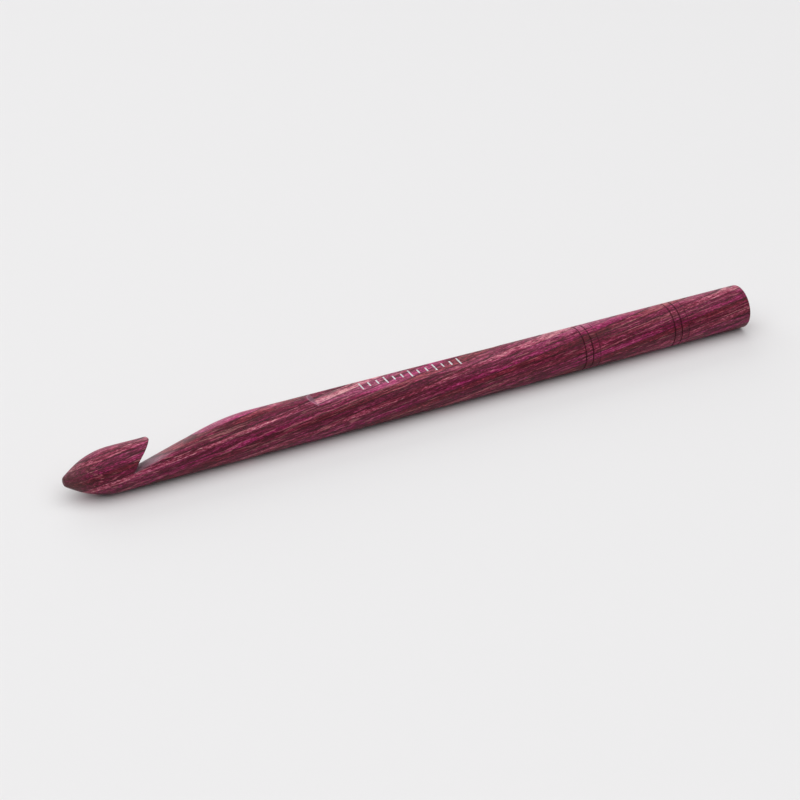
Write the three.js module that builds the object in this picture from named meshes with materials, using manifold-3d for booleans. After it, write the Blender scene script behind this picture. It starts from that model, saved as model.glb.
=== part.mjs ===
// A crochet hook turned from a glued stack of dyed veneers: one rigid rod with a bullet head, a throat,
// a flat thumb rest and two groups of scribed rings. Every veneer ply is a node of its own.
// Units are millimetres. The hook lies on the floor along +X, from the tip of the head to the butt, and +Z is up.
import * as THREE from "three";
import { mergeVertices } from "three/addons/utils/BufferGeometryUtils.js";
import Module from "manifold-3d";

// Rod
const HOOK_LENGTH = 150;
const SHAFT_RADIUS = 4.5;
const SIDES = 24; // facets round the rod, one of them flat on the floor
const FLAT_TO_CORNER = 1 / Math.cos(Math.PI / SIDES);
const BUTT_CHAMFER = 0.4;

// Head: a bullet whose radius grows from the tip to the full shaft radius
const HEAD_LENGTH = 10.5;
const HEAD_STATIONS = 11;
const HEAD_FULLNESS = 0.76;
const TIP_BLUNTNESS = 0.32; // how much rounder than the rest of the head the very tip is
const TIP_FADE = 0.8; // distance over which that extra roundness dies away
const TIP_CROWDING = 1.7; // stations are packed towards the tip

// Throat, measured from the tip along X and from the hook's axis towards the throat's mouth
const THROAT_ROLL = THREE.MathUtils.degToRad(30); // the mouth is rolled from straight up towards +Y
const CREASE_X = 12.6;
const CREASE_HEIGHT = -1.0;
const UNDERCUT_KNEE_X = 14.2; // the undercut is steeper below this point than above it
const UNDERCUT_KNEE_HEIGHT = 1.15;
const LIP_X = 17.8;
const LIP_HEIGHT = 4.1; // above this the lip's end is sanded square
const RAMP_ANGLE = THREE.MathUtils.degToRad(14);
const RAMP_BLEND_LENGTH = 11.6; // over this length the ramp's slope falls to none
const RAMP_BLEND_STEPS = 4;
const CUT_CLEARANCE_HEIGHT = 6.5; // outside the rod, where the cutters end
const CROWN_AXIS_DEPTH = 13; // the cutter turns about a line this far below the hook's axis
const CROWN_SIDES = 72;

// Thumb rest: a flat on top with a short slope at each end
const THUMB_START = 50.7;
const THUMB_END = 95;
const THUMB_HALF_ANGLE = THREE.MathUtils.degToRad(31);
const THUMB_SLOPE = THREE.MathUtils.degToRad(27);

// Scribed rings, measured from the butt end
const RING_GROUPS = [16.7, 37.7];
const RING_PITCH = 1.65;
const RINGS_IN_GROUP = 3;
const RING_WIDTH = 0.4;
const RING_DEPTH = 0.25;

// Veneer stack
const PLY_THICKNESS = 1.05;
const GLUE_LINE = 0.03;
const PLY_RUNOUT = THREE.MathUtils.degToRad(7); // the plies rise towards the butt by this angle
const STACK_PHASE = 0.46; // shifts the stack so that no ply ends as a sliver
const SMALLEST_PIECE = 0.2; // cubic millimetres: a flake this thin, cut loose by a scribed ring, is sanded away
const SLAB_LENGTH = 2 * HOOK_LENGTH;
const SLAB_WIDTH = 4 * SHAFT_RADIUS;
const DYES = [
  { name: "plum", color: "#6b2444" },
  { name: "rose", color: "#b0566a" },
  { name: "mauve", color: "#8a3a5c" },
  { name: "magenta", color: "#9c2f5c" },
  { name: "maroon", color: "#6a1f33" },
];
const VENEER_ROUGHNESS = 0.4;

const wasm = await Module();
wasm.setup();

// A closed three.js geometry as a solid that can be cut.
function solidOf(geometry) {
  const bare = geometry.clone();
  bare.deleteAttribute("normal");
  bare.deleteAttribute("uv");
  const merged = mergeVertices(bare, 1e-4);
  return new wasm.Manifold(
    new wasm.Mesh({
      numProp: 3,
      vertProperties: new Float32Array(merged.attributes.position.array),
      triVerts: new Uint32Array(merged.index.array),
    }),
  );
}

// A cut solid back as a three.js geometry.
function geometryOf(solid) {
  const mesh = solid.getMesh();
  const positions = new Float32Array(mesh.numVert * 3);
  for (let i = 0; i < mesh.numVert; i++) {
    const start = i * mesh.numProp;
    positions.set(mesh.vertProperties.subarray(start, start + 3), 3 * i);
  }
  const geometry = new THREE.BufferGeometry();
  geometry.setAttribute("position", new THREE.BufferAttribute(positions, 3));
  geometry.setIndex(new THREE.BufferAttribute(new Uint32Array(mesh.triVerts), 1));
  geometry.computeVertexNormals();
  return geometry;
}

// Radius of the head at a distance from the tip.
function headRadius(x) {
  const reach = 1 - Math.pow(1 - x / HEAD_LENGTH, 2);
  const power = HEAD_FULLNESS - TIP_BLUNTNESS * Math.exp(-x / TIP_FADE);
  return SHAFT_RADIUS * Math.pow(reach, power);
}

// Half outline of the rod as [distance from the tip, radius], from the tip on the axis to the butt on the axis.
function rodOutline() {
  const outline = [[0, 0]];
  for (let i = 1; i <= HEAD_STATIONS; i++) {
    const x = HEAD_LENGTH * Math.pow(i / HEAD_STATIONS, TIP_CROWDING);
    outline.push([x, headRadius(x)]);
  }
  const centres = [];
  for (const group of RING_GROUPS) {
    for (let i = 0; i < RINGS_IN_GROUP; i++) {
      centres.push(HOOK_LENGTH - group + (i - (RINGS_IN_GROUP - 1) / 2) * RING_PITCH);
    }
  }
  centres.sort((a, b) => a - b);
  for (const x of centres) {
    outline.push([x - RING_WIDTH / 2, SHAFT_RADIUS]);
    outline.push([x, SHAFT_RADIUS - RING_DEPTH]);
    outline.push([x + RING_WIDTH / 2, SHAFT_RADIUS]);
  }
  outline.push([HOOK_LENGTH - BUTT_CHAMFER, SHAFT_RADIUS]);
  outline.push([HOOK_LENGTH, SHAFT_RADIUS - BUTT_CHAMFER]);
  outline.push([HOOK_LENGTH, 0]);
  return outline;
}

// Turns a closed outline of [x, radius] about the X axis, with a facet facing each of +Z and -Z.
function turned(outline, sides) {
  const points = outline.map(([x, radius]) => new THREE.Vector2(radius, x));
  const geometry = new THREE.LatheGeometry(points, sides, Math.PI / sides);
  geometry.rotateZ(-Math.PI / 2);
  return solidOf(geometry);
}

// The rod, with its flats as far from the axis as the round rod's surface.
function rod() {
  return turned(
    rodOutline().map(([x, radius]) => [x, radius * FLAT_TO_CORNER]),
    SIDES,
  );
}

// Outline of the throat as [x, height above the hook's axis]: up the undercut to the lip, over the rod, down the ramp.
function throatOutline() {
  const slope = Math.tan(RAMP_ANGLE);
  const blendEndHeight = SHAFT_RADIUS * FLAT_TO_CORNER;
  const blendStartHeight = blendEndHeight - (slope * RAMP_BLEND_LENGTH) / 2;
  const blendStartX = CREASE_X + (blendStartHeight - CREASE_HEIGHT) / slope;
  const outline = [
    [CREASE_X, CREASE_HEIGHT],
    [UNDERCUT_KNEE_X, UNDERCUT_KNEE_HEIGHT],
    [LIP_X, LIP_HEIGHT],
    [LIP_X, CUT_CLEARANCE_HEIGHT],
    [blendStartX + RAMP_BLEND_LENGTH, CUT_CLEARANCE_HEIGHT],
  ];
  for (let i = RAMP_BLEND_STEPS; i >= 0; i--) {
    const t = i / RAMP_BLEND_STEPS;
    const rise = slope * RAMP_BLEND_LENGTH * (t - (t * t) / 2);
    outline.push([blendStartX + t * RAMP_BLEND_LENGTH, blendStartHeight + rise]);
  }
  outline.push([CREASE_X, CREASE_HEIGHT]);
  return outline;
}

// Turned about a line far below the hook, so that the throat is a little rounded across.
function throatCutter() {
  const ring = throatOutline().map(([x, height]) => [x, height + CROWN_AXIS_DEPTH]);
  const cutter = turned(ring, CROWN_SIDES);
  return cutter.translate([0, 0, -CROWN_AXIS_DEPTH]);
}

// A block standing on the thumb rest, with a slope at each end.
function thumbCutter() {
  const floor = SHAFT_RADIUS * Math.cos(THUMB_HALF_ANGLE);
  const slopeRun = (CUT_CLEARANCE_HEIGHT - floor) / Math.tan(THUMB_SLOPE);
  const slopeInRod = (SHAFT_RADIUS - floor) / Math.tan(THUMB_SLOPE);
  const side = new THREE.Shape();
  side.moveTo(THUMB_START + slopeInRod, floor);
  side.lineTo(THUMB_END - slopeInRod, floor);
  side.lineTo(THUMB_END - slopeInRod + slopeRun, CUT_CLEARANCE_HEIGHT);
  side.lineTo(THUMB_START + slopeInRod - slopeRun, CUT_CLEARANCE_HEIGHT);
  side.closePath();
  const block = new THREE.ExtrudeGeometry(side, { depth: 2 * SHAFT_RADIUS, bevelEnabled: false });
  block.rotateX(Math.PI / 2);
  block.translate(0, SHAFT_RADIUS, 0);
  return solidOf(block);
}

// One ply of the stack as a long thin slab; height is that of its middle above the middle of the rod.
function slab(height) {
  const box = new THREE.BoxGeometry(SLAB_LENGTH, SLAB_WIDTH, PLY_THICKNESS - GLUE_LINE);
  box.translate(0, 0, height);
  box.rotateY(-PLY_RUNOUT);
  box.rotateX(-THROAT_ROLL);
  box.translate(HOOK_LENGTH / 2, 0, 0);
  return solidOf(box);
}

const rollDegrees = THREE.MathUtils.radToDeg(-THROAT_ROLL);
const hook = rod().subtract(throatCutter().rotate([rollDegrees, 0, 0])).subtract(thumbCutter());

// The stack reaches from above the head to below the butt.
const halfReach = (HOOK_LENGTH / 2) * Math.sin(PLY_RUNOUT) + SHAFT_RADIUS;
const plyCount = Math.ceil((2 * halfReach) / PLY_THICKNESS) + 1;

const group = new THREE.Group();
group.name = "crochet_hook";
group.position.set(-HOOK_LENGTH / 2, 0, SHAFT_RADIUS);

let number = 0;
for (let i = 0; i < plyCount; i++) {
  const height = halfReach + (STACK_PHASE - i) * PLY_THICKNESS;
  const pieces = hook
    .intersect(slab(height))
    .decompose()
    .filter((piece) => piece.volume() > SMALLEST_PIECE)
    .sort((a, b) => a.boundingBox().min[0] - b.boundingBox().min[0]);
  if (!pieces.length) continue;
  const dye = DYES[number % DYES.length];
  number += 1;
  // The throat cuts some plies in two: what is left in the lip, and the rest of the ply behind the throat.
  const endings = pieces.length === 1 ? [""] : ["_lip", "_shaft"];
  pieces.forEach((piece, k) => {
    const material = new THREE.MeshStandardMaterial({
      color: dye.color,
      roughness: VENEER_ROUGHNESS,
      metalness: 0,
    });
    material.name = "veneer_" + dye.name;
    const mesh = new THREE.Mesh(geometryOf(piece), material);
    mesh.name = "ply_" + String(number).padStart(2, "0") + endings[k];
    group.add(mesh);
  });
}

export default group;
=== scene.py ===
"""Looks of a crochet hook turned from a glued stack of dyed veneers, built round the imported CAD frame.

The smooth hook is one signed field. It is meshed once and cut at the glue lines into the plies of the
frame, and each ply gets its own procedural wood. Lengths are in millimetres until a mesh is made: x runs
from the tip of the head to the butt, y and z are measured from the hook's axis.
"""

import math

import bpy
import numpy as np
from mathutils import Matrix, Vector


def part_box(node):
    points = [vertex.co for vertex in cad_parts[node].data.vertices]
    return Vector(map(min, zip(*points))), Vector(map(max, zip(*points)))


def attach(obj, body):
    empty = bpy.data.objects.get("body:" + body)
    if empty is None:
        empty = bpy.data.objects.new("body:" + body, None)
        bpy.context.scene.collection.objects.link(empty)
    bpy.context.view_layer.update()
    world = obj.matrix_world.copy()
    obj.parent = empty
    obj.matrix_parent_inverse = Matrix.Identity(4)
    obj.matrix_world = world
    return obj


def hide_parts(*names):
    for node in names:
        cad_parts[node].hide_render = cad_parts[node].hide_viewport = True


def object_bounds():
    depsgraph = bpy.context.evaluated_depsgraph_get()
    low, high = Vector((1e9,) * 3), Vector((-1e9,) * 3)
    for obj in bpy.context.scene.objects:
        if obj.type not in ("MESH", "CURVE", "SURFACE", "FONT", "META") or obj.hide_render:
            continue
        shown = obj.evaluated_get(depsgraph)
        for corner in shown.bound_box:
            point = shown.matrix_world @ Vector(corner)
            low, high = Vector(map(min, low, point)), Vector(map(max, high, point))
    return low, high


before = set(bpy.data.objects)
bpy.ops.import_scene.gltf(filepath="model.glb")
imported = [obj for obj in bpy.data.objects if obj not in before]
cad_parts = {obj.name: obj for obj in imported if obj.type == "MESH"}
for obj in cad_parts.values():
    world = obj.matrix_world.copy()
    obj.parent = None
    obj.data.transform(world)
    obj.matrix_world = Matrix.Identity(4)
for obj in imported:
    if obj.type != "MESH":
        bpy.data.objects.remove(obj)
CAD_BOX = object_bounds()
SCENE = bpy.context.scene
MM = 0.001

# The rod, read from the frame
LENGTH = (CAD_BOX[1].x - CAD_BOX[0].x) / MM
RADIUS = (CAD_BOX[1].z - CAD_BOX[0].z) / MM / 2
TIP_X = CAD_BOX[0].x / MM
AXIS_Z = (CAD_BOX[1].z + CAD_BOX[0].z) / MM / 2

# Head and butt
HEAD_LENGTH = 10.5
HEAD_FULLNESS = 0.76  # power of the head's outline: the lower, the fuller
TIP_BLUNTNESS = 0.32  # how much rounder than the rest of the head the very tip is
TIP_FADE = 0.8  # distance over which that extra roundness dies away
FALL_BEFORE_TIP = 60  # how fast the rod's field rises in front of the tip
BUTT_EDGE = 0.45  # rounding of the butt's edge

# Throat, in the frame rolled from +Z towards +Y. Its points are (x, height above the axis).
THROAT_ROLL = math.radians(30)
CREASE = (12.6, -1.0)
KNEE = (14.2, 1.15)
LIP = (17.8, 4.1)
RAMP_ANGLE = math.radians(14)
RAMP_SLOPE = math.tan(RAMP_ANGLE)
RAMP_BLEND = 11.6  # over this length the ramp's slope falls to none
ROD_SIDES = 24  # facets round the CAD rod, whose corners the ramp levels off at
RAMP_TOP = RADIUS / math.cos(math.pi / ROD_SIDES)
CROWN_DEPTH = 13  # the throat is turned about a line this far below the axis
CREASE_FILLET = 0.5
KNEE_FILLET = 0.25
UNDERCUT_EDGE = 0.3  # rounding of the throat's edge at the lip
RAMP_EDGE = 1.8  # rounding of the throat's edge at the far end of the ramp
RAMP_EDGE_START = 17
RAMP_EDGE_GROWTH = 9  # length over which the rounding grows from the first to the second
EDGE_PER_DEPTH = 0.8  # the rounding is no wider than this share of the cut's depth
SHARPEST_EDGE = 0.03
THROAT_END = 41
THROAT_FADE = 0.3  # how fast the throat's field falls away beyond its end

# Thumb rest
THUMB = (50.7, 95.0)  # where its slopes leave the top of the rod
THUMB_HALF_ANGLE = math.radians(31)  # half of what the flat takes from the round
THUMB_HEIGHT = RADIUS * math.cos(THUMB_HALF_ANGLE)
THUMB_SLOPE = math.tan(math.radians(27))
THUMB_DROP = (RADIUS - THUMB_HEIGHT) / THUMB_SLOPE  # length of the slope at each end
THUMB_MIDDLE = 70  # the far slope counts only beyond this
FAR_SLOPE_SHARE = 0.75  # the far slope is gentler than the near one
FAR_SLOPE_FILLET = 0.5
THUMB_EDGE = 0.14  # rounding of the flat's edge at the near end
THUMB_END_EDGE = 0.6  # and at the far end
THUMB_EDGE_START = 82
THUMB_EDGE_GROWTH = 10

# Scribed rings, as distances from the butt. The third of each group is shallow.
RING_GROUPS = (16.7, 37.7)
RING_PITCH = 1.65
RING_HALF_WIDTH = 0.19
RING_DEPTHS = (0.2, 0.2, 0.09)
RING_SHARPNESS = 1.5  # power of a groove's outline: the higher, the sharper its bottom

# Veneer stack
PLY_THICKNESS = 1.05
PLY_RUNOUT = math.radians(7)
TOP_PLY_HEIGHT = 13.0731  # where ply 0 would have its middle
GLUE_GAP = 0.02

# Mesh of the smooth hook
GRID_MARGIN = 0.3  # how far the grid reaches past each end
SIDE_MARGIN = 0.35  # and past the sides
SIDE_STEP = 0.17
SIDE_SHIFT = 0.021  # keeps the grid's planes off the hook's own planes
SURFACE_STEPS = 4  # times that each vertex is moved towards the surface
LONGEST_MOVE = 0.08
SMALLEST_SLOPE = 0.05
GRADIENT_STEP = 0.004
SNAP = 0.006  # a vertex this near a glue line is moved onto it

# Steps of the grid along the hook, as (from, to, step). They are fine where the shape turns sharply.
HEAD_STEPS = [(-GRID_MARGIN, 1.5, 0.08), (1.5, 12, 0.17), (12, 19.2, 0.12), (19.2, 44, 0.42)]
THUMB_STEPS = [(44, 50.2, 0.7), (50.2, 53, 0.1), (53, 84, 0.75), (84, 98, 0.35)]
PLAIN_STEP = 0.75
RING_REACH = 0.33  # the grid is fine this far to each side of a ring
RING_STEP = 0.055
BUTT_STEPS = [(LENGTH - 1.2, LENGTH + GRID_MARGIN, 0.09)]
BEFORE_BUTT_STEP = 0.7

RINGS = sorted(
    (LENGTH - group + (i - (len(RING_DEPTHS) - 1) / 2) * RING_PITCH, depth)
    for group in RING_GROUPS
    for i, depth in enumerate(RING_DEPTHS)
)


def smooth_max(a, b, width):
    """The larger of two fields, with the edge between them rounded over about that width."""
    near = np.maximum(width - np.abs(a - b), 0) / width
    return np.maximum(a, b) + near * near * width / 4


def rod_radius(x):
    """Radius of the turned rod, rings included, at distances from the tip."""
    t = np.clip(x, 1e-9, HEAD_LENGTH)
    reach = 1 - (1 - t / HEAD_LENGTH) ** 2
    radius = RADIUS * reach ** (HEAD_FULLNESS - TIP_BLUNTNESS * np.exp(-t / TIP_FADE))
    for centre, depth in RINGS:
        inside = np.clip(1 - ((x - centre) / RING_HALF_WIDTH) ** 2, 0, 1)
        radius = radius - depth * inside**RING_SHARPNESS
    return radius


def ramp_height(x):
    """Height of the ramp behind the throat: straight at first, then level with the top of the rod."""
    start_height = RAMP_TOP - RAMP_SLOPE * RAMP_BLEND / 2
    start = CREASE[0] + (start_height - CREASE[1]) / RAMP_SLOPE
    t = np.clip((x - start) / RAMP_BLEND, 0, 1)
    straight = CREASE[1] + RAMP_SLOPE * (x - CREASE[0])
    levelling = start_height + RAMP_SLOPE * RAMP_BLEND * (t - t * t / 2)
    return np.where(x < start, straight, levelling)


def undercut_distance(x, height):
    """How far a point is behind the undercut face of the head, which leans back over the throat."""

    def behind(a, b):
        along = np.array([b[0] - a[0], b[1] - a[1]])
        along = along / np.linalg.norm(along)
        return (x - a[0]) * along[1] - (height - a[1]) * along[0]

    lower, upper = behind(CREASE, KNEE), behind(KNEE, LIP)
    leaning = -smooth_max(-lower, -upper, KNEE_FILLET)
    return np.maximum(leaning, x - LIP[0])


def hook_field(points):
    """Negative inside the hook, positive outside, and close to a distance near the surface."""
    x, y, z = points[..., 0], points[..., 1], points[..., 2]
    radius = rod_radius(x)
    square = np.where(x > 0, radius * radius, FALL_BEFORE_TIP * x)
    field = (y * y + z * z - square) / (2 * RADIUS)
    field = smooth_max(field, x - LENGTH, BUTT_EDGE)

    up = y * math.sin(THROAT_ROLL) + z * math.cos(THROAT_ROLL)
    across = y * math.cos(THROAT_ROLL) - z * math.sin(THROAT_ROLL)
    height = np.hypot(across, up + CROWN_DEPTH) - CROWN_DEPTH
    above_ramp = (height - ramp_height(x)) * math.cos(RAMP_ANGLE)
    throat = -smooth_max(-above_ramp, -undercut_distance(x, height), CREASE_FILLET)
    along_ramp = np.clip((x - RAMP_EDGE_START) / RAMP_EDGE_GROWTH, 0, 1)
    edge = UNDERCUT_EDGE + (RAMP_EDGE - UNDERCUT_EDGE) * along_ramp * along_ramp
    widest = np.maximum(EDGE_PER_DEPTH * (RADIUS - ramp_height(x)), SHARPEST_EDGE)
    throat = throat - THROAT_FADE * np.maximum(x - THROAT_END, 0)
    field = smooth_max(field, throat, np.minimum(edge, widest))

    rise = np.maximum(THUMB[0] + THUMB_DROP - x, 0) * THUMB_SLOPE
    past_flat = (x - THUMB[1] + THUMB_DROP) * THUMB_SLOPE * FAR_SLOPE_SHARE
    far_rise = smooth_max(past_flat, np.zeros_like(x), FAR_SLOPE_FILLET)
    thumb = z - THUMB_HEIGHT - rise - np.where(x > THUMB_MIDDLE, far_rise, 0)
    far = np.clip((x - THUMB_EDGE_START) / THUMB_EDGE_GROWTH, 0, 1)
    return smooth_max(field, thumb, THUMB_EDGE + (THUMB_END_EDGE - THUMB_EDGE) * far)


def stations():
    """Grid positions along the hook: close together where the shape changes, wide apart on the plain rod."""
    spans = HEAD_STEPS + THUMB_STEPS
    for centre, _ in RINGS:
        spans.append((spans[-1][1], centre - RING_REACH, PLAIN_STEP))
        spans.append((centre - RING_REACH, centre + RING_REACH, RING_STEP))
    spans.append((spans[-1][1], BUTT_STEPS[0][0], BEFORE_BUTT_STEP))
    spans += BUTT_STEPS
    xs = []
    for low, high, step in spans:
        count = max(1, round((high - low) / step))
        xs.extend(np.linspace(low, high, count, endpoint=False))
    xs.append(spans[-1][1])
    return np.array(xs)


def gradient(points):
    """Gradient of the hook's field by central differences."""
    parts = []
    for axis in range(3):
        shift = np.zeros(3)
        shift[axis] = GRADIENT_STEP
        parts.append((hook_field(points + shift) - hook_field(points - shift)) / (2 * GRADIENT_STEP))
    return np.stack(parts, -1)


def surface():
    """Vertices and triangles of the hook.

    Each grid cell that the surface crosses gets one vertex, which is then moved onto the surface.
    """
    reach = RADIUS + SIDE_MARGIN
    sides = np.linspace(-reach, reach, 2 * math.ceil(reach / SIDE_STEP)) + SIDE_SHIFT
    grid = np.stack(np.meshgrid(stations(), sides, sides, indexing="ij"), -1)
    value = hook_field(grid)
    inside = value < 0

    # Where the surface crosses an edge of the grid, the crossing counts for the four cells round that edge.
    # The vertex of a cell starts in the middle of its crossings.
    total = np.zeros([n - 1 for n in inside.shape] + [3])
    hits = np.zeros([n - 1 for n in inside.shape])
    crossings = []
    for axis in range(3):
        low = [slice(None)] * 3
        high = [slice(None)] * 3
        low[axis], high[axis] = slice(None, -1), slice(1, None)
        low, high = tuple(low), tuple(high)
        cross = inside[low] != inside[high]
        share = value[low] / np.where(cross, value[low] - value[high], 1)
        point = grid[low] + share[..., None] * (grid[high] - grid[low])
        others = [a for a in range(3) if a != axis]
        for du in (0, 1):
            for dv in (0, 1):
                pick = [slice(None)] * 3
                pick[others[0]] = slice(du, inside.shape[others[0]] - 1 + du)
                pick[others[1]] = slice(dv, inside.shape[others[1]] - 1 + dv)
                pick = tuple(pick)
                total += np.where(cross[pick][..., None], point[pick], 0)
                hits += cross[pick]
        crossings.append((cross, inside[low], others))
    used = hits > 0
    index = np.full(used.shape, -1)
    index[used] = np.arange(used.sum())
    verts = total[used] / hits[used][:, None]

    # Each crossed edge gets two triangles between the vertices of those four cells, facing outwards.
    triangles = []
    for axis, (cross, low_inside, others) in enumerate(crossings):
        at = np.argwhere(cross)
        corners = []
        for du, dv in ((1, 1), (0, 1), (0, 0), (1, 0)):
            cell = at.copy()
            cell[:, others[0]] -= du
            cell[:, others[1]] -= dv
            corners.append(index[tuple(cell.T)])
        quad = np.stack(corners, -1)
        flip = low_inside[tuple(at.T)] == (axis == 1)
        quad[flip] = quad[flip][:, ::-1]
        triangles.append(quad[:, [0, 1, 2]])
        triangles.append(quad[:, [0, 2, 3]])
    triangles = np.concatenate(triangles)

    for _ in range(SURFACE_STEPS):
        slope = gradient(verts)
        steepness = np.maximum((slope * slope).sum(-1), SMALLEST_SLOPE)
        step = hook_field(verts)[:, None] * slope / steepness[:, None]
        verts = verts - np.clip(step, -LONGEST_MOVE, LONGEST_MOVE)
    return verts, triangles


def ply_coordinates(points):
    """Points turned into the frame of the stack: along the grain, across it, and through the plies."""
    up = points[:, 1] * math.sin(THROAT_ROLL) + points[:, 2] * math.cos(THROAT_ROLL)
    across = points[:, 1] * math.cos(THROAT_ROLL) - points[:, 2] * math.sin(THROAT_ROLL)
    along = points[:, 0] - LENGTH / 2
    cos, sin = math.cos(PLY_RUNOUT), math.sin(PLY_RUNOUT)
    return np.stack([along * cos + up * sin, across, up * cos - along * sin], -1)


PLY_NORMAL = np.array(
    [
        -math.sin(PLY_RUNOUT),
        math.cos(PLY_RUNOUT) * math.sin(THROAT_ROLL),
        math.cos(PLY_RUNOUT) * math.cos(THROAT_ROLL),
    ]
)


def cut_at(verts, triangles, level):
    """Splits every triangle that crosses one glue line, so that none does."""
    depth = ply_coordinates(verts)[:, 2] - level
    near = np.abs(depth) < SNAP
    verts = verts - np.where(near, depth, 0)[:, None] * PLY_NORMAL
    side = np.where(near, 0, np.sign(depth)).astype(int)
    sides = side[triangles]
    crossing = (sides.min(1) < 0) & (sides.max(1) > 0)
    kept, cut, sides = triangles[~crossing], triangles[crossing], sides[crossing]

    # Each triangle is turned round until its first corner is on the glue line, or else alone on its side.
    touching = (sides == 0).any(1)
    lone = sides == -np.sign(sides.sum(1))[:, None]
    first = np.where(touching, np.argmax(sides == 0, 1), np.argmax(lone, 1))
    cut = np.take_along_axis(cut, (first[:, None] + np.arange(3)) % 3, 1)
    a, b, c = cut[touching].T
    p, q, r = cut[~touching].T
    edges = np.concatenate([np.stack([b, c], -1), np.stack([p, q], -1), np.stack([p, r], -1)])
    unique, place = np.unique(np.sort(edges, 1), axis=0, return_inverse=True)
    place = place.reshape(-1) + len(verts)
    low, high = unique.T
    share = (depth[low] / (depth[low] - depth[high]))[:, None]
    verts = np.concatenate([verts, verts[low] + share * (verts[high] - verts[low])])
    bc = place[: len(b)]
    pq = place[len(b) : len(b) + len(p)]
    pr = place[len(b) + len(p) :]
    made = [(a, b, bc), (a, bc, c), (p, pq, pr), (pq, q, r), (pq, r, pr)]
    return verts, np.concatenate([kept] + [np.stack(corners, -1) for corners in made])


def border_loops(triangles):
    """The closed borders of an open surface, each as a list of vertices that runs against its triangles.

    A border that touches itself at a vertex is split there, so no loop passes through a vertex twice.
    """
    edges = np.concatenate([triangles[:, [0, 1]], triangles[:, [1, 2]], triangles[:, [2, 0]]])
    base = edges.max() + 1
    forward = edges[:, 0] * base + edges[:, 1]
    backward = edges[:, 1] * base + edges[:, 0]
    border = edges[~np.isin(forward, backward)]
    following = {}
    for start, end in border.tolist():
        following.setdefault(end, []).append(start)
    loops = []
    while following:
        path = [next(iter(following))]
        while path[-1] in following:
            choices = following[path[-1]]
            step = choices.pop()
            if not choices:
                del following[path[-1]]
            if step in path:
                start = path.index(step)
                loops.append(path[start:])
                path = path[: start + 1]
            else:
                path.append(step)
    return loops


def ply_mesh(name, verts, normals, triangles, middle):
    """A closed mesh of one ply: its share of the hook's surface, and a flat face at each glue line."""
    used, triangles = np.unique(triangles, return_inverse=True)
    triangles = triangles.reshape(-1, 3)
    points, smooth = verts[used].copy(), normals[used]
    depth = ply_coordinates(points)[:, 2] - middle
    faces = triangles.tolist()
    loop_normals = [smooth[triangles].reshape(-1, 3)]
    for loop in border_loops(triangles):
        side = 1 if depth[loop].mean() > 0 else -1
        points[loop] -= side * GLUE_GAP / 2 * PLY_NORMAL
        if len(loop) > 2:
            faces.append(loop)
            loop_normals.append(np.tile(side * PLY_NORMAL, (len(loop), 1)))
    mesh = bpy.data.meshes.new(name)
    mesh.from_pydata(((points + (TIP_X, 0, AXIS_Z)) * MM).tolist(), [], faces)
    mesh.polygons.foreach_set("use_smooth", [True] * len(faces))
    mesh.normals_split_custom_set(np.concatenate(loop_normals).tolist())
    mesh.update()
    return mesh


def ply_pieces():
    """Cuts the hook into the plies of the frame and returns {CAD node: its smooth piece}."""
    verts, triangles = surface()
    number_of = {node: int(node.split("_")[1]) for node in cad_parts}
    last = max(number_of.values())
    for number in range(1, last):
        verts, triangles = cut_at(verts, triangles, TOP_PLY_HEIGHT - (number + 0.5) * PLY_THICKNESS)
    normals = gradient(verts)
    normals /= np.linalg.norm(normals, axis=1)[:, None]
    corners = verts[triangles]
    centre = corners.mean(1)
    # A triangle that lies in a glue line belongs to the ply behind it.
    outward = np.cross(corners[:, 1] - corners[:, 0], corners[:, 2] - corners[:, 0]) @ PLY_NORMAL
    height = ply_coordinates(centre)[:, 2] - SNAP / 10 * np.sign(outward)
    owner = np.clip(np.rint((TOP_PLY_HEIGHT - height) / PLY_THICKNESS), 1, last).astype(int)
    pieces = {}
    for node, number in sorted(number_of.items()):
        mine = owner == number
        if node.endswith("_lip") or node.endswith("_shaft"):
            halves = [f"ply_{number:02d}_lip", f"ply_{number:02d}_shaft"]
            between = (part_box(halves[0])[1].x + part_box(halves[1])[0].x) / 2 / MM - TIP_X
            mine &= (centre[:, 0] < between) == node.endswith("_lip")
        name = node.replace("ply", "veneer")
        mesh = ply_mesh(name, verts, normals, triangles[mine], TOP_PLY_HEIGHT - number * PLY_THICKNESS)
        piece = bpy.data.objects.new(name, mesh)
        SCENE.collection.objects.link(piece)
        pieces[node] = (number, piece)
    return pieces


# ---------------------------------------------------------------- wood

# Each dye as four colours, from the darkest fibres to the palest
DYES = {
    "plum": ("#460a1c", "#6c1637", "#962c57", "#c46f86"),
    "rose": ("#521222", "#842842", "#b95a74", "#e6a8ac"),
    "mauve": ("#4c0e20", "#7a1e43", "#a53a6a", "#d2879c"),
    "magenta": ("#4e0b22", "#851849", "#b43272", "#dc7fa0"),
    "maroon": ("#430a16", "#6a162b", "#962f46", "#c76f74"),
}
DYE_ORDER = list(DYES)
DYE_STOPS = (0.18, 0.46, 0.68, 0.98)  # the tones at which the four colours lie
# Grey of the ramp behind the crease: partly sanded wood, partly a painted highlight.
SANDED_AND_HIGHLIGHT_GREY = "#a08a94"
# Lilac of the thumb rest's near slope: sanded end grain with a painted reflection of the white surroundings.
SANDED_AND_REFLECTED_LILAC = "#a0708a"
# Painted highlight: the pale of the slope's rim and of the line along its foot.
PAINTED_HIGHLIGHT_PALE = "#d0a8b0"
TIP_BROWN = "#553a38"
GLUE_COLOUR = "#280610"
HAIRLINE = "#3a0a14"
PALE_LINE = "#dd8c90"

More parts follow.
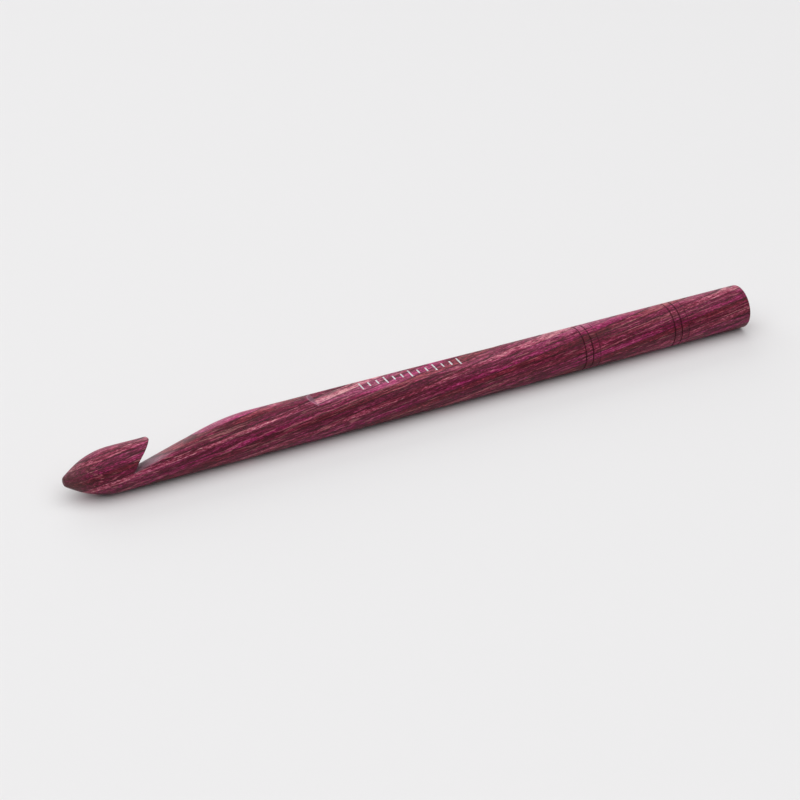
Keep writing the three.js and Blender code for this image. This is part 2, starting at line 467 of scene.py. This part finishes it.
# Noises of the wood: features per millimetre along the grain, across it and through the ply, then detail,
# roughness and salt. The straight ones keep to the stack, the bent ones follow its wandering growth layers.
STRAIGHT_NOISES = {
    "slow": ((0.045, 0.22, 0.3), 2.0, 0.5, 1),
    "quick": ((0.3, 1.0, 1.0), 2.0, 0.5, 2),
    "fibres": ((1.3, 5.0, 5.0), 2.0, 0.7, 5),
    "flecks": ((0.9, 4.0, 4.0), 1.0, 0.5, 6),
    "patches": ((0.07, 0.5, 0.6), 2.0, 0.5, 7),
}
BENT_NOISES = {
    "layers": ((0.02, 0.1, 1.7), 3.0, 0.6, 3),
    "streaks": ((0.12, 2.2, 4.4), 3.0, 0.65, 4),
    "pale_lines": ((0.03, 0.12, 2.4), 2.0, 0.6, 8),
    "dark_lines": ((0.02, 0.08, 2.1), 2.0, 0.6, 9),
    "dark_hairs": ((0.16, 2.4, 3.4), 1.0, 0.5, 10),
    "pale_hairs": ((0.18, 2.4, 3.6), 1.0, 0.5, 11),
}
NOISE_RANGE = (0.25, 0.75)  # nearly all of Blender's noise lies between these
SEED_SHIFT = (31.7, 11.9, 5.3)  # each seed and each salt move the noise by so many features
SALT_SHIFT = (7.3, -3.1, 13.7)
SLOW_WANDER = 0.8  # how far the slow noise moves the growth layers, in millimetres
QUICK_WANDER = 0.25

# The tone of the dye is this much of each noise, added to the ply's own shift
TONE_SHARES = {"layers": 0.35, "streaks": 0.62, "fibres": 0.65}
TONE_SHIFT = -0.43
PALE_PLIES = {7: 0.16, 12: 0.06}
DARK_PLIES = {3: 0.03, 5: 0.04, 6: 0.06, 10: 0.05}

# Below, a pair called an edge says where a mark starts to show and where it is whole. A pair called a gain
# says what a noise is multiplied by and what is then added.
# Painted light: surfaces that face up along the plies are painted paler, as if lit from above.
PAINTED_TOP_LIGHT_EDGE = (0.5, 0.98)  # cosine between the surface and the upper side of the plies
PAINTED_TOP_LIGHT_LIFT = 0.28
PATCH_DYES = {
    "plum": "maroon",
    "rose": "magenta",
    "mauve": "maroon",
    "magenta": "maroon",
    "maroon": "magenta",
}
PATCH_EDGE = (0.4, 0.95)
PATCH_STRENGTH = 0.6
PALE_LINE_EDGE = (0.68, 0.94)
PALE_LINE_GAIN = (0.5, 0.1)

# Marks laid over the dye in this order: noise, edge, strength and colour. The flecks are open pores, short
# dark dashes along the grain.
MARKS = (
    ("dark_lines", (0.34, 0.12), 0.7, GLUE_COLOUR),
    ("dark_hairs", (0.34, 0.16), 0.65, HAIRLINE),
    ("pale_hairs", (0.74, 0.94), 0.3, PALE_LINE),
    ("flecks", (0.30, 0.12), 0.45, GLUE_COLOUR),
)

# Resin at the glue lines, by the distance from the middle of the ply
RESIN_EDGE = (PLY_THICKNESS / 2 - 0.12, PLY_THICKNESS / 2 - 0.02)
RESIN_GAIN = (0.8, 0.15)

# The greyer patch on the ramp behind the crease, partly sanded wood and partly a painted highlight
SANDED_HIGHLIGHT_START_EDGE = (CREASE[0] - 0.4, CREASE[0] + 0.3)
SANDED_HIGHLIGHT_END_EDGE = (21.5, 16.5)
SANDED_HIGHLIGHT_RAMP_EDGE = (0.75, 0.45)  # distance from the plane of the ramp
SANDED_HIGHLIGHT_SIDE_EDGE = (4.35, 4.0)  # distance from the middle of the throat
SANDED_HIGHLIGHT_GAIN = (0.9, 0.2)
SANDED_HIGHLIGHT_STRENGTH = 0.85

# The near slope of the thumb rest, tinted lilac as sanded end grain with a painted reflection, and the
# painted highlights round it and along its foot
SLOPE_END = THUMB[0] + THUMB_DROP
SLOPE_PLANE_EDGE = (0.09, 0.03)  # distance from the plane of the slope
SLOPE_START_EDGE = (THUMB[0] - 0.5, THUMB[0])
SLOPE_END_EDGE = (SLOPE_END + 0.12, SLOPE_END - 0.02)
SLOPE_STRENGTH = 0.4
RIM_EDGE = (RADIUS - 0.16, RADIUS - 0.06)  # distance from the hook's axis
RIM_HIGHLIGHT_STRENGTH = 0.22
FOOT_X = SLOPE_END + 0.1
FOOT_EDGE = (0.16, 0.05)  # distance from FOOT_X
FOOT_HEIGHT_EDGE = (THUMB_HEIGHT - 0.05, THUMB_HEIGHT - 0.02)
FOOT_HIGHLIGHT_STRENGTH = 0.1

# The browner tip, and the scribed rings, which are darker at the bottom
TIP_EDGE = (6.5, 0.0)
TIP_GAIN = (0.5, 0.35)
RING_DEPTH_EDGE = (RADIUS - 0.02, RADIUS - 0.12)  # distance from the hook's axis
RING_START_EDGE = (104, 105)
RING_END_EDGE = (LENGTH - 5, LENGTH - 6)
RING_STRENGTH = 0.6

# Finish of the wood. The relief is the fibres and a share of the flecks, and its depth is in metres.
ROUGHNESS_GAIN = (0.16, 0.36)
FLECK_RELIEF = 0.6
RELIEF_STRENGTH = 0.35
RELIEF_DEPTH = 0.00006
WOOD_SPECULAR = 0.2


def linear(code):
    """A #rrggbb colour as the linear values that Blender uses."""
    values = [int(code[i : i + 2], 16) / 255 for i in (1, 3, 5)]
    return [v / 12.92 if v <= 0.04045 else ((v + 0.055) / 1.055) ** 2.4 for v in values] + [1.0]


class Looks:
    """Builds the node tree of one material."""

    def __init__(self, name, seed):
        self.material = bpy.data.materials.new(name)
        self.material.use_nodes = True
        self.tree = self.material.node_tree
        self.shader = self.tree.nodes["Principled BSDF"]
        self.seed = seed

    def join(self, value, socket):
        """Gives a socket its value, which is another socket, a number or a colour."""
        if isinstance(value, bpy.types.NodeSocket):
            self.tree.links.new(value, socket)
        else:
            socket.default_value = value

    def add(self, kind, inputs, **settings):
        """A new node with these inputs and settings."""
        node = self.tree.nodes.new(kind)
        for key, value in settings.items():
            setattr(node, key, value)
        for key, value in inputs.items():
            self.join(value, node.inputs[key])
        return node

    def math(self, operation, a, b=0.0, c=0.0):
        return self.add("ShaderNodeMath", {0: a, 1: b, 2: c}, operation=operation).outputs[0]

    def distance(self, a, b):
        """How far two numbers are apart."""
        return self.math("ABSOLUTE", self.math("SUBTRACT", a, b))

    def step(self, value, low, high):
        """0 up to low, 1 from high, and smooth in between."""
        inputs = {"Value": value, "From Min": low, "From Max": high}
        return self.add("ShaderNodeMapRange", inputs, interpolation_type="SMOOTHSTEP").outputs[0]

    def scale(self, vector, stretch, shift=(0, 0, 0)):
        node = self.add("ShaderNodeVectorMath", {0: vector, 1: stretch, 2: shift}, operation="MULTIPLY_ADD")
        return node.outputs[0]

    def noise(self, vector, stretch, detail, roughness, salt):
        """Noise with so many features per unit along each axis, spread over 0 to 1."""
        shift = [a * self.seed + b * salt for a, b in zip(SEED_SHIFT, SALT_SHIFT)]
        inputs = {
            "Vector": self.scale(vector, stretch, shift),
            "Scale": 1.0,
            "Detail": detail,
            "Roughness": roughness,
        }
        raw = self.add("ShaderNodeTexNoise", inputs).outputs[0]
        inputs = {"Value": raw, "From Min": NOISE_RANGE[0], "From Max": NOISE_RANGE[1]}
        return self.add("ShaderNodeMapRange", inputs).outputs[0]

    def ramp(self, factor, colours, places):
        """Blends through the colours, each of them whole at its place."""
        node = self.add("ShaderNodeValToRGB", {0: factor})
        stops = node.color_ramp.elements
        while len(stops) < len(colours):
            stops.new(0.5)
        for stop, place, colour in zip(stops, places, colours):
            stop.position = place
            stop.color = linear(colour)
        return node.outputs[0]

    def cover(self, colour, over, *factors):
        """A colour with another laid over it, as strongly as the product of the factors."""
        strength = factors[0]
        for factor in factors[1:]:
            strength = self.math("MULTIPLY", strength, factor)
        node = self.add("ShaderNodeMix", {}, data_type="RGBA")
        # A mix node has a set of sockets for each type of data: these are the factor and the two colours.
        for place, value in ((0, strength), (6, colour), (7, over)):
            self.join(value, node.inputs[place])
        return node.outputs[2]


def stack_matrix():
    """Moves and turns a place in the frame, in millimetres, into the frame of the stack."""
    to_roll = Matrix.Rotation(THROAT_ROLL, 4, "X")
    to_grain = Matrix.Rotation(PLY_RUNOUT, 4, "Y")
    middle = Vector((TIP_X + LENGTH / 2, 0, AXIS_Z))
    return to_grain @ to_roll @ Matrix.Translation(-middle)


class Wood(Looks):
    """The looks of one ply, with the places and noises that all its marks are made from.

    Its places are in millimetres: across (from the middle of the throat) and height in the frame of the
    stack, and on the hook x, z, up (towards the throat's mouth) and reach (distance from the axis).
    """

    def __init__(self, name, number):
        super().__init__(name, number)
        to_millimetres = (1 / MM, 1 / MM, 1 / MM)
        place = self.add("ShaderNodeTexCoord", {}).outputs["Object"]
        turn = stack_matrix()
        inputs = {
            "Vector": place,
            "Location": turn.to_translation(),
            "Rotation": turn.to_euler("XYZ"),
            "Scale": to_millimetres,
        }
        stack = self.add("ShaderNodeMapping", inputs).outputs[0]
        along, self.across, self.height = self.add("ShaderNodeSeparateXYZ", {0: stack}).outputs

        # The growth layers run along the ply, and wander a little through its thickness.
        self.noises = {name: self.noise(stack, *kind) for name, kind in STRAIGHT_NOISES.items()}
        slow = self.math("MULTIPLY", self.noises["slow"], SLOW_WANDER)
        quick = self.math("MULTIPLY", self.noises["quick"], QUICK_WANDER)
        layered = self.math("ADD", self.height, self.math("ADD", slow, quick))
        bent = self.add("ShaderNodeCombineXYZ", {0: along, 1: self.across, 2: layered}).outputs[0]
        self.noises.update({name: self.noise(bent, *kind) for name, kind in BENT_NOISES.items()})

        at = self.add("ShaderNodeSeparateXYZ", {0: self.scale(place, to_millimetres)}).outputs
        self.x = self.math("SUBTRACT", at[0], TIP_X)
        self.z = self.math("SUBTRACT", at[2], AXIS_Z)
        sideways = self.math("MULTIPLY", at[1], math.sin(THROAT_ROLL))
        self.up = self.math("MULTIPLY_ADD", self.z, math.cos(THROAT_ROLL), sideways)
        around = self.add("ShaderNodeCombineXYZ", {0: 0.0, 1: at[1], 2: self.z}).outputs[0]
        self.reach = self.add("ShaderNodeVectorMath", {0: around}, operation="LENGTH").outputs["Value"]

    def gained(self, name, gain):
        """One of the noises, with a gain applied to it."""
        return self.math("MULTIPLY_ADD", self.noises[name], *gain)


def dyed(wood, dye, number):
    """The colour of the dye in the grain, with patches where it took differently, growth lines, pores, and
    painted light that makes surfaces facing up along the plies paler.
    """
    tone = TONE_SHIFT + PALE_PLIES.get(number, 0) - DARK_PLIES.get(number, 0)
    for name, share in TONE_SHARES.items():
        tone = wood.math("MULTIPLY_ADD", wood.noises[name], share, tone)

    # Painted light: surfaces that face up along the plies are painted paler than the sides, as light from
    # above would make them.
    outward = wood.add("ShaderNodeTexCoord", {}).outputs["Normal"]
    inputs = {0: outward, 1: PLY_NORMAL.tolist()}
    facing = wood.add("ShaderNodeVectorMath", inputs, operation="DOT_PRODUCT").outputs["Value"]
    tone = wood.math("MULTIPLY_ADD", wood.step(facing, *PAINTED_TOP_LIGHT_EDGE), PAINTED_TOP_LIGHT_LIFT, tone)

    colour = wood.ramp(tone, DYES[dye], DYE_STOPS)
    other = wood.ramp(tone, DYES[PATCH_DYES[dye]], DYE_STOPS)
    colour = wood.cover(colour, other, wood.step(wood.noises["patches"], *PATCH_EDGE), PATCH_STRENGTH)
    pale = wood.step(wood.noises["pale_lines"], *PALE_LINE_EDGE)
    colour = wood.cover(colour, linear(PALE_LINE), pale, wood.gained("fibres", PALE_LINE_GAIN))
    for name, edge, strength, mark in MARKS:
        colour = wood.cover(colour, linear(mark), wood.step(wood.noises[name], *edge), strength)
    return colour


def resined(wood, colour, middle):
    """Dark resin at the glue lines."""
    line = wood.step(wood.distance(wood.height, middle), *RESIN_EDGE)
    return wood.cover(colour, linear(GLUE_COLOUR), line, wood.gained("slow", RESIN_GAIN))


def sanded_and_highlighted(wood, colour):
    """Greyer on the ramp just behind the crease: partly sanded wood, partly a painted highlight."""
    ramp = wood.math("MULTIPLY_ADD", wood.x, RAMP_SLOPE, CREASE[1] - CREASE[0] * RAMP_SLOPE)
    # The grey laid here is partly sanded wood and partly a painted highlight.
    return wood.cover(
        colour,
        linear(SANDED_AND_HIGHLIGHT_GREY),
        wood.step(wood.x, *SANDED_HIGHLIGHT_START_EDGE),
        wood.step(wood.x, *SANDED_HIGHLIGHT_END_EDGE),
        wood.step(wood.distance(wood.up, ramp), *SANDED_HIGHLIGHT_RAMP_EDGE),
        wood.step(wood.math("ABSOLUTE", wood.across), *SANDED_HIGHLIGHT_SIDE_EDGE),
        wood.gained("fibres", SANDED_HIGHLIGHT_GAIN),
        SANDED_HIGHLIGHT_STRENGTH,
    )


def thumb_slope(wood, colour):
    """Lilac on the near slope of the thumb rest, partly greyer sanded end grain and partly a painted
    reflection, with a painted highlight along its rim and a pale painted highlight line along its foot.
    """
    plane = wood.math("MULTIPLY_ADD", wood.x, -THUMB_SLOPE, THUMB_HEIGHT + SLOPE_END * THUMB_SLOPE)
    on_slope = wood.step(wood.distance(wood.z, plane), *SLOPE_PLANE_EDGE)
    on_slope = wood.math("MULTIPLY", on_slope, wood.step(wood.x, *SLOPE_END_EDGE))
    on_slope = wood.math("MULTIPLY", on_slope, wood.step(wood.x, *SLOPE_START_EDGE))
    # Lilac-grey on the slope: sanded end grain and a painted reflection.
    colour = wood.cover(colour, linear(SANDED_AND_REFLECTED_LILAC), on_slope, SLOPE_STRENGTH)
    # Painted highlight along the slope's rim.
    rim = wood.step(wood.reach, *RIM_EDGE)
    colour = wood.cover(colour, linear(PAINTED_HIGHLIGHT_PALE), on_slope, rim, RIM_HIGHLIGHT_STRENGTH)
    # Painted highlight line along the foot of the slope.
    foot = wood.step(wood.distance(wood.x, FOOT_X), *FOOT_EDGE)
    on_flat = wood.step(wood.z, *FOOT_HEIGHT_EDGE)
    return wood.cover(colour, linear(PAINTED_HIGHLIGHT_PALE), foot, on_flat, FOOT_HIGHLIGHT_STRENGTH)


def scribed(wood, colour):
    """Dark at the bottom of the scribed rings."""
    return wood.cover(
        colour,
        linear(GLUE_COLOUR),
        wood.step(wood.reach, *RING_DEPTH_EDGE),
        wood.step(wood.x, *RING_START_EDGE),
        wood.step(wood.x, *RING_END_EDGE),
        RING_STRENGTH,
    )


def wood_material(number, middle):
    """The veneer of one ply, whose middle is that high in the stack: its material and its slot's name."""
    dye = DYE_ORDER[(number - 1) % len(DYE_ORDER)]
    wood = Wood(f"wood_{number:02d}_{dye}", number)
    colour = dyed(wood, dye, number)
    colour = resined(wood, colour, middle)
    colour = sanded_and_highlighted(wood, colour)
    colour = thumb_slope(wood, colour)
    colour = wood.cover(
        colour, linear(TIP_BROWN), wood.step(wood.x, *TIP_EDGE), wood.gained("streaks", TIP_GAIN)
    )
    colour = scribed(wood, colour)

    wood.join(colour, wood.shader.inputs["Base Color"])
    wood.join(wood.gained("fibres", ROUGHNESS_GAIN), wood.shader.inputs["Roughness"])
    relief = wood.math("MULTIPLY_ADD", wood.noises["flecks"], FLECK_RELIEF, wood.noises["fibres"])
    inputs = {"Height": relief, "Strength": RELIEF_STRENGTH, "Distance": RELIEF_DEPTH}
    wood.join(wood.add("ShaderNodeBump", inputs).outputs[0], wood.shader.inputs["Normal"])
    wood.shader.inputs["Specular IOR Level"].default_value = WOOD_SPECULAR
    return wood.material, "veneer_" + dye


materials = {}
for node, (number, piece) in ply_pieces().items():
    if number not in materials:
        materials[number] = wood_material(number, TOP_PLY_HEIGHT - number * PLY_THICKNESS)
    material, slot = materials[number]
    piece.data.materials.append(material)
    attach(piece, "root")
    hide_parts(node)


# ---------------------------------------------------------------- silver size ticks on the thumb rest

TICKS = (62.4, 84.0)  # the first and the last, as distances from the tip
TICK_COUNT = 13
TICK_WIDTH = 0.32
TICK_MIDDLE = 0.5
TICK_LENGTHS = (2.5, 1.5, 1.5)
TICK_END_SIDES = 6
FOIL = 0.02  # how far the foil reaches above and below the flat
FOIL_SEED = 60
FOIL_NOISE = ((300, 3000, 3000), 2.0, 0.6, 1)  # features per metre, detail, roughness and salt
FOIL_COLOURS = ("#8f878b", "#cfcdd0", "#e6e6ea")
FOIL_STOPS = (0.1, 0.4, 0.8)
FOIL_ROUGHNESS_GAIN = (0.15, 0.3)
FOIL_METALLIC = 0.35


def tick_outline(x, length):
    """A round-ended bar across the flat, seen from above.

    Its points are [x, y], measured from the tip and from the middle of the flat.
    """
    outline = []
    for end in (1, -1):
        for i in range(TICK_END_SIDES + 1):
            angle = math.pi * i / TICK_END_SIDES + (0 if end > 0 else math.pi)
            y = TICK_MIDDLE + end * (length - TICK_WIDTH) / 2
            outline.append((x + TICK_WIDTH / 2 * math.cos(angle), y + TICK_WIDTH / 2 * math.sin(angle)))
    return outline


def foil_ticks():
    """A row of closed bars, each a little thicker than the film that they stand for."""
    verts, faces = [], []
    for i in range(TICK_COUNT):
        x = TICKS[0] + (TICKS[1] - TICKS[0]) * i / (TICK_COUNT - 1)
        outline = tick_outline(x, TICK_LENGTHS[i % len(TICK_LENGTHS)])
        start, count = len(verts), len(outline)
        for z in (THUMB_HEIGHT - FOIL, THUMB_HEIGHT + FOIL):
            verts += [((px + TIP_X) * MM, py * MM, (z + AXIS_Z) * MM) for px, py in outline]
        faces.append([start + count + k for k in range(count)])
        faces.append([start + k for k in reversed(range(count))])
        for k in range(count):
            following = (k + 1) % count
            faces.append([start + k, start + following, start + count + following, start + count + k])
    mesh = bpy.data.meshes.new("silver_size_ticks")
    mesh.from_pydata(verts, [], faces)
    piece = bpy.data.objects.new("silver_size_ticks", mesh)
    SCENE.collection.objects.link(piece)
    return piece


def foil_material():
    """Silver hot-stamped foil, with a little of the wood's grain in its tone."""
    foil = Looks("silver_foil", FOIL_SEED)
    place = foil.add("ShaderNodeTexCoord", {}).outputs["Object"]
    grain = foil.noise(place, *FOIL_NOISE)
    foil.join(foil.ramp(grain, FOIL_COLOURS, FOIL_STOPS), foil.shader.inputs["Base Color"])
    foil.join(foil.math("MULTIPLY_ADD", grain, *FOIL_ROUGHNESS_GAIN), foil.shader.inputs["Roughness"])
    foil.shader.inputs["Metallic"].default_value = FOIL_METALLIC
    return foil.material


ticks = foil_ticks()
ticks.data.materials.append(foil_material())
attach(ticks, "root")


# ---------------------------------------------------------------- floor, light and camera, in metres

FLOOR_REACH = 3.0  # from the middle of the floor to each side
FLOOR_DROP = 0.00001  # keeps the hook from sharing a plane with the floor
PAPER_COLOUR = (0.82, 0.815, 0.82, 1)
PAPER_ROUGHNESS = 0.9
PAPER_SPECULAR = 0.1
WORLD_COLOUR = (1.0, 1.0, 1.0, 1)
WORLD_STRENGTH = 0.24

# Softboxes, as place, size and power in watts. Each faces the origin.
SOFTBOXES = {
    "key_overhead": ((-0.1, -0.2, 1.2), (2.6, 2.1), 22.4),
    "back_panel": ((-0.2, 1.6, 0.75), (3.0, 1.4), 13.8),
}

# The direction from the hook to the camera, and how far the camera is then moved to its right and up
VIEW_AZIMUTH = math.radians(-26.74)
VIEW_ELEVATION = math.radians(31.346)
VIEW_DISTANCE = 0.5341
VIEW_RIGHT = -0.00383
VIEW_UP = 0.00173
FOCAL_LENGTH = 120.85  # this and the sensor are in millimetres
SENSOR_WIDTH = 36


def paper_floor():
    """The white paper that the hook lies on."""
    mesh = bpy.data.meshes.new("floor")
    corners = [(FLOOR_REACH * x, FLOOR_REACH * y, 0) for x, y in ((-1, -1), (1, -1), (1, 1), (-1, 1))]
    mesh.from_pydata(corners, [], [(0, 1, 2, 3)])
    paper = Looks("white_paper", 0)
    paper.shader.inputs["Base Color"].default_value = PAPER_COLOUR
    paper.shader.inputs["Roughness"].default_value = PAPER_ROUGHNESS
    paper.shader.inputs["Specular IOR Level"].default_value = PAPER_SPECULAR
    mesh.materials.append(paper.material)
    floor = bpy.data.objects.new("floor", mesh)
    floor.location.z = -FLOOR_DROP
    SCENE.collection.objects.link(floor)
    return floor


def studio_world():
    """Even white light from all round, which fills the shadows."""
    world = bpy.data.worlds.new("studio")
    world.use_nodes = True
    world.node_tree.nodes["Background"].inputs["Color"].default_value = WORLD_COLOUR
    world.node_tree.nodes["Background"].inputs["Strength"].default_value = WORLD_STRENGTH
    return world


def softbox(name, place, size, power):
    """A rectangular light that the camera doesn't see."""
    lamp = bpy.data.lights.new(name, "AREA")
    lamp.shape = "RECTANGLE"
    lamp.size, lamp.size_y = size
    lamp.energy = power
    thing = bpy.data.objects.new(name, lamp)
    thing.location = place
    thing.rotation_mode = "QUATERNION"
    thing.rotation_quaternion = Vector(place).to_track_quat("Z", "Y")
    thing.visible_camera = False
    SCENE.collection.objects.link(thing)


def photo_camera():
    """A camera that sees the hook from where the photograph was taken."""
    back = Vector(
        (
            math.sin(VIEW_AZIMUTH) * math.cos(VIEW_ELEVATION),
            -math.cos(VIEW_AZIMUTH) * math.cos(VIEW_ELEVATION),
            math.sin(VIEW_ELEVATION),
        )
    )
    right = Vector((0, 0, 1)).cross(back).normalized()
    up = back.cross(right)
    camera = bpy.data.objects.new("camera", bpy.data.cameras.new("camera"))
    camera.data.sensor_width = SENSOR_WIDTH
    camera.data.lens = FOCAL_LENGTH
    place = back * VIEW_DISTANCE + right * VIEW_RIGHT + up * VIEW_UP
    camera.matrix_world = Matrix.Translation(place) @ Matrix((right, up, back)).transposed().to_4x4()
    SCENE.collection.objects.link(camera)
    return camera


floor = paper_floor()
SCENE.world = studio_world()
for name, (place, size, power) in SOFTBOXES.items():
    softbox(name, place, size, power)
SCENE.camera = photo_camera()
SCENE.view_settings.view_transform = "Standard"
